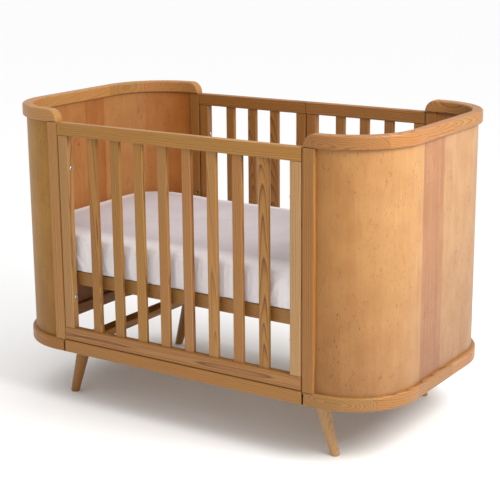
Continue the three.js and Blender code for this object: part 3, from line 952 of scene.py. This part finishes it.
def tube(name, length, inner, outer):
    """An open tube along +Z from the origin, with slightly eased rims."""
    ease = 0.3 * MM
    profile = [(inner, 0), (outer - ease, 0), (outer, ease)]
    profile += [(outer, length - ease), (outer - ease, length), (inner, length)]
    sides = 32
    verts = []
    for radius, height in profile:
        for k in range(sides):
            a = 2 * math.pi * k / sides
            verts.append((radius * math.cos(a), radius * math.sin(a), height))
    faces = []
    for r in range(len(profile)):
        for k in range(sides):
            a, b = r * sides + k, r * sides + (k + 1) % sides
            c = (r + 1) % len(profile) * sides
            faces.append((a, b, c + (k + 1) % sides, c + k))
    piece = make_object(name, verts, faces)
    set_outward(piece)
    return piece


def brass(name):
    material, graph, shader = new_material(name)
    wear = graph.noise(graph.object_spot(), 700.0, 3.0)
    tone = graph.mix(graph.remap(wear, 0.35, 0.65), colour(0.55, 0.40, 0.17), colour(0.68, 0.52, 0.25))
    graph.feed(shader.inputs["Base Color"], tone)
    shader.inputs["Metallic"].default_value = 1.0
    graph.feed(shader.inputs["Roughness"], graph.remap(wear, 0.3, 0.7, 0.25, 0.45))
    return material


BRASS = brass("insert_brass")
INNER_POST_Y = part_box("rear_left_post")[0].y


def bore_post(post, at, outward):
    """Cuts a blind hole for an insert into a post, from its inner face at a point."""
    start = -2 * MM
    profile = [(0, start), (INSERT_RADIUS, start), (INSERT_RADIUS, HOLE_DEPTH), (0, HOLE_DEPTH)]
    cutter = turned("cutter", profile, 32)
    cutter.data.transform(Matrix.Translation(at) @ outward)
    finish = list(post.modifiers)
    for modifier in finish:
        modifier.show_viewport = False
    hole = post.modifiers.new("hole", "BOOLEAN")
    hole.operation = "DIFFERENCE"
    hole.solver = "EXACT"
    hole.object = cutter
    graph = bpy.context.evaluated_depsgraph_get()
    cut = bpy.data.meshes.new_from_object(post.evaluated_get(graph), depsgraph=graph)
    post.modifiers.remove(hole)
    for modifier in finish:
        modifier.show_viewport = True
    post.data = cut
    bpy.data.objects.remove(cutter)


def make_base_fixing(place, side, end, out):
    """A corner's three inserts, and the spacer and bolt that hold the base to the middle one."""
    post = bpy.data.objects[f"{place}_{end}_post_board"]
    # Local +Z of an insert or spacer lies along -Y at the front and +Y at the rear, which is outward.
    outward = Matrix.Rotation(-side * math.pi / 2, 4, "X")
    inward = Matrix.Rotation(side * math.pi / 2, 4, "X")
    x = out * BASE_BOLT_X
    for number, level in enumerate(BASE_LEVELS):
        at = Vector((x, side * INNER_POST_Y, BASE_BOLT_Z + level))
        bore_post(post, at, outward)
        name = f"{place}_{end}_insert_{number + 1}"
        insert = tube(name, HOLE_DEPTH - INSERT_SINK, HOLE_RADIUS, INSERT_RADIUS - 0.05 * MM)
        sunk = at + Vector((0, side * INSERT_SINK, 0))
        insert.data.transform(Matrix.Translation(sunk) @ outward)
        dress(insert, FRAME_BODY, BRASS, "bolt_steel")
    outer_face, inner_face = abs(BASE_RAIL_LOW.y), abs(BASE_RAIL_HIGH.y)
    length = INNER_POST_Y - outer_face
    spacer = tube(f"base_{place}_{end}_spacer", length, SPACER_BORE_RADIUS, SPACER_RADIUS)
    spacer.data.transform(Matrix.Translation((x, side * outer_face, BASE_BOLT_Z)) @ outward)
    dress(spacer, BASE_BODY, STEEL, "bolt_steel")
    bolt = bolt_mesh(f"base_{place}_{end}_bolt", INNER_POST_Y - inner_face + BASE_BOLT_REACH)
    bolt.data.transform(Matrix.Translation((x, side * inner_face, BASE_BOLT_Z)) @ inward)
    dress(bolt, BASE_BODY, STEEL, "bolt_steel")


for place, side in (("front", -1), ("rear", 1)):
    for end, out in (("left", -1), ("right", 1)):
        make_base_fixing(place, side, end, out)


# ========================================
# Mattress
# ========================================
MATTRESS_RADIUS = 0.1585


def oval_station(share, half_x, half_y, radius):
    """Point and outward normal at a share of the way round a rounded rectangle, from the front middle."""
    straight_x, straight_y = 2 * (half_x - radius), 2 * (half_y - radius)
    arc = math.pi / 2 * radius
    total = 2 * straight_x + 2 * straight_y + 4 * arc
    d = (share % 1.0) * total
    corners = [(half_x - radius, -half_y + radius, -90), (half_x - radius, half_y - radius, 0),
               (-half_x + radius, half_y - radius, 90), (-half_x + radius, -half_y + radius, 180)]
    runs = [straight_x / 2, straight_y, straight_x, straight_y]
    position = Vector((0.0, -half_y))
    headings = [Vector((1, 0)), Vector((0, 1)), Vector((-1, 0)), Vector((0, -1))]
    for run, heading, (cx, cy, start) in zip(runs, headings, corners):
        if d <= run:
            return position + heading * d, Vector((heading.y, -heading.x))
        d -= run
        if d <= arc:
            a = math.radians(start) + d / radius
            normal = Vector((math.cos(a), math.sin(a)))
            return Vector((cx, cy)) + normal * radius, normal
        d -= arc
        a = math.radians(start + 90)
        position = Vector((cx, cy)) + Vector((math.cos(a), math.sin(a))) * radius
    return position + headings[0] * d, Vector((0, -1))


SHEET_STEP = 0.007
SIM_FRAMES = 26
SHEET_CAP = 14 * MM
CORE_IN = 2.5 * MM
CROWN = 7 * MM
LEFT_RISE = 9 * MM


def mattress_shape(name, shrink, edge, low, high):
    """A closed mattress form, shrink inside the node's outline, with a rounded top edge."""
    half_x, half_y = MATTRESS_HIGH.x - shrink, MATTRESS_HIGH.y - shrink
    around, side_rows, arc_rows, top_rows = 600, 14, 8, 34
    foot = low + 8 * MM
    rows = [(20 * MM, low), (5 * MM, low), (1 * MM, low + 4 * MM)]
    for k in range(side_rows + 1):
        rows.append((0.0, foot + (high - edge - foot) * k / side_rows))
    for k in range(1, arc_rows + 1):
        a = math.pi / 2 * k / arc_rows
        rows.append((edge * (1 - math.cos(a)), high - edge + edge * math.sin(a)))
    for k in range(1, top_rows + 1):
        rows.append((edge + (half_y - edge - 6 * MM) * k / top_rows, high))
    verts = []
    for inset, z in rows:
        radius = max(MATTRESS_RADIUS - shrink - inset, 3 * MM)
        for k in range(around):
            point, _ = oval_station(k / around, half_x - inset, half_y - inset, radius)
            crown = 0.0
            if inset >= edge:
                crown = CROWN * min((inset - edge) / 0.10, 1.0) ** 0.7
            ride = min(max((-point.x - 0.30) / 0.28, 0.0), 1.0)
            crown += LEFT_RISE * ride * ride * (3 - 2 * ride) * max(z - low, 0.0) / (high - low)
            verts.append((point.x, point.y, z + crown))
    faces = ring_faces(len(rows), around)
    faces.append(tuple(reversed(range(around))))
    faces.append(tuple(range(len(verts) - around, len(verts))))
    piece = make_object(name, verts, faces)
    set_outward(piece)
    return piece


def evened(piece, step):
    """Replaces a piece's mesh with a voxel remesh of even quads."""
    piece.modifiers.clear()
    remesh = piece.modifiers.new("even", "REMESH")
    remesh.mode = "VOXEL"
    remesh.voxel_size = step
    bake_modifiers(piece)


def bake_modifiers(piece):
    graph = bpy.context.evaluated_depsgraph_get()
    baked = bpy.data.meshes.new_from_object(piece.evaluated_get(graph), depsgraph=graph)
    piece.modifiers.clear()
    old = piece.data
    piece.data = baked
    bpy.data.meshes.remove(old)
    baked.shade_smooth()


def settle_sheet(sheet, core):
    """Lets a slightly long sheet settle over the mattress core, its hem held underneath."""
    before = np.empty(len(sheet.data.vertices) * 3, np.float32)
    sheet.data.vertices.foreach_get("co", before)
    heights = before.reshape(-1, 3)[:, 2]
    hem = sheet.vertex_groups.new(name="hem")
    hem.add([int(i) for i in np.nonzero(heights < MATTRESS_LOW.z + 7 * MM)[0]], 1.0, "REPLACE")
    top = sheet.vertex_groups.new(name="top")
    top.add([int(i) for i in np.nonzero(heights > MATTRESS_HIGH.z - 12 * MM)[0]], 1.0, "REPLACE")
    core.modifiers.new("collision", "COLLISION")
    core.collision.thickness_outer = 1.5 * MM
    core.collision.cloth_friction = 12
    cloth = sheet.modifiers.new("cloth", "CLOTH")
    settings = cloth.settings
    settings.quality = 6
    settings.mass = 0.2
    settings.tension_stiffness = 12
    settings.compression_stiffness = 8
    settings.shear_stiffness = 4
    settings.bending_stiffness = 0.08
    settings.vertex_group_mass = "hem"
    settings.shrink_min = -0.085
    settings.shrink_max = -0.022
    settings.vertex_group_shrink = "top"
    cloth.collision_settings.distance_min = 1.5 * MM
    cloth.collision_settings.use_collision = True
    cloth.point_cache.frame_end = SIM_FRAMES
    scene = bpy.context.scene
    for frame_number in range(1, SIM_FRAMES + 1):
        scene.frame_set(frame_number)
    bake_modifiers(sheet)
    scene.frame_set(1)
    after = np.empty(len(sheet.data.vertices) * 3, np.float32)
    sheet.data.vertices.foreach_get("co", after)
    start, moved = before.reshape(-1, 3), after.reshape(-1, 3)
    move = moved - start
    size = np.linalg.norm(move, axis=1, keepdims=True)
    move *= np.minimum(1.0, SHEET_CAP / np.maximum(size, 1e-9))
    placed = (start + move).astype(np.float32)
    placed[:, 2] = np.maximum(placed[:, 2], MATTRESS_LOW.z + 0.2 * MM)
    sheet.data.vertices.foreach_set("co", placed.ravel())


def ripple_sheet(sheet, gather, crease):
    """Vertical gathers down the sides, where the sheet is drawn in under the mattress, and creases on top."""
    chance = random.Random("mattress")
    waves = [
        (chance.uniform(0, 2 * math.pi), chance.randint(90, 215), chance.uniform(0.4, 1)) for _ in range(14)
    ]
    for vertex in sheet.data.vertices:
        x, y, z = vertex.co
        drop = min(max((MATTRESS_HIGH.z - z) / (MATTRESS_HIGH.z - MATTRESS_LOW.z), 0), 1)
        around = math.atan2(y * 1.6, x) / (2 * math.pi)
        fold = sum(w * math.sin(f * 2 * math.pi * around + p) for p, f, w in waves) / 3.2
        patch = 0.45 + 0.75 * noise.noise(Vector((x * 5, y * 5, 3.0)))
        side = gather * (1 - abs(fold)) * fold * 1.6 * patch * math.sin(math.pi * min(drop * 1.1, 1)) ** 0.8
        reach = math.hypot(x, y)
        vertex.co.x += side * x / reach
        vertex.co.y += side * y / reach
        if drop < 0.12:
            bent = x * 26 + y * 34 + 2.4 * noise.noise(Vector((x * 3, y * 3, 0)))
            ridge = (1 - abs(math.sin(bent))) ** 4
            place = noise.noise(Vector((x * 4 + 9, y * 4, 1.0)))
            vertex.co.z += crease * ridge * max(place + 0.25, 0)


def make_mattress():
    low, high = MATTRESS_LOW.z + 0.5 * MM, MATTRESS_HIGH.z - 1.5 * MM
    sheet = mattress_shape("mattress_sheet", 5 * MM, 20 * MM, low, high)
    core = mattress_shape("mattress_core", 5 * MM + CORE_IN, 20 * MM, low + CORE_IN, high - CORE_IN)
    evened(core, 0.012)
    evened(sheet, SHEET_STEP)
    ripple_sheet(sheet, 1.5 * MM, 0.0)
    settle_sheet(sheet, core)
    ripple_sheet(sheet, 6.0 * MM, 3.2 * MM)
    bpy.data.objects.remove(core)
    smooth = sheet.modifiers.new("smooth", "SUBSURF")
    smooth.levels = smooth.render_levels = 1
    dress(sheet, MATTRESS_BODY, sheet_cotton("cotton_sheet"), "mattress_fabric", "mattress")


make_mattress()


# ========================================
# Floor, light and camera
# ========================================
def make_floor():
    bpy.ops.mesh.primitive_plane_add(size=120, location=(0, 0, 0))
    floor = bpy.context.object
    floor.name = "studio_floor"
    material, graph, shader = new_material("studio_floor")
    shader.inputs["Base Color"].default_value = colour(0.90, 0.90, 0.90)
    shader.inputs["Roughness"].default_value = 0.9
    shader.inputs["Specular IOR Level"].default_value = 0.1
    floor.data.materials.append(material)


def area_light(name, place, target, width, height, power, tint=(1, 1, 1)):
    light = bpy.data.lights.new(name, "AREA")
    light.shape = "RECTANGLE"
    light.size = width
    light.size_y = height
    light.energy = power
    light.color = tint
    lamp = bpy.data.objects.new(name, light)
    lamp.location = place
    lamp.rotation_euler = (Vector(target) - Vector(place)).to_track_quat("-Z", "Y").to_euler()
    bpy.context.scene.collection.objects.link(lamp)


def make_world(strength):
    """A white studio, brighter overhead than at the horizon."""
    world = bpy.data.worlds.new("studio")
    bpy.context.scene.world = world
    world.use_nodes = True
    graph = Graph(world.node_tree)
    background = world.node_tree.nodes["Background"]
    direction = graph.node("ShaderNodeTexCoord").outputs["Generated"]
    height = graph.math("MAXIMUM", graph.split(direction)[2], 0.0)
    glow = graph.ramp(height, (0.0, 0.42), (0.35, 0.50), (1.0, 1.0))
    graph.feed(background.inputs["Strength"], graph.times(glow, strength))
    background.inputs["Color"].default_value = colour(1.0, 1.0, 1.0)


def make_camera():
    camera = bpy.data.cameras.new("camera")
    camera.sensor_width = 36
    camera.lens = 94.38
    camera.shift_x = 0.0472
    camera.shift_y = -0.0293
    camera.clip_end = 300
    shot = bpy.data.objects.new("camera", camera)
    yaw, pitch, roll = math.radians(34.46), math.radians(-13.80), math.radians(-0.707)
    ahead = Vector((-math.sin(yaw) * math.cos(pitch), math.cos(yaw) * math.cos(pitch), math.sin(pitch)))
    level = Vector((math.cos(yaw), math.sin(yaw), 0))
    upright = level.cross(ahead)
    right = level * math.cos(roll) + upright * math.sin(roll)
    up = upright * math.cos(roll) - level * math.sin(roll)
    turn = Matrix((right, up, -ahead)).transposed().to_4x4()
    shot.matrix_world = Matrix.Translation((2.0124, -3.0347, 1.3723)) @ turn
    bpy.context.scene.collection.objects.link(shot)
    bpy.context.scene.camera = shot


make_floor()
make_world(1.45)
area_light("key", (1.95, -0.35, 1.75), (0.45, -0.05, 0.6), 1.3, 1.0, 54, (1.0, 0.97, 0.93))
make_camera()
bpy.context.scene.view_settings.view_transform = "Standard"
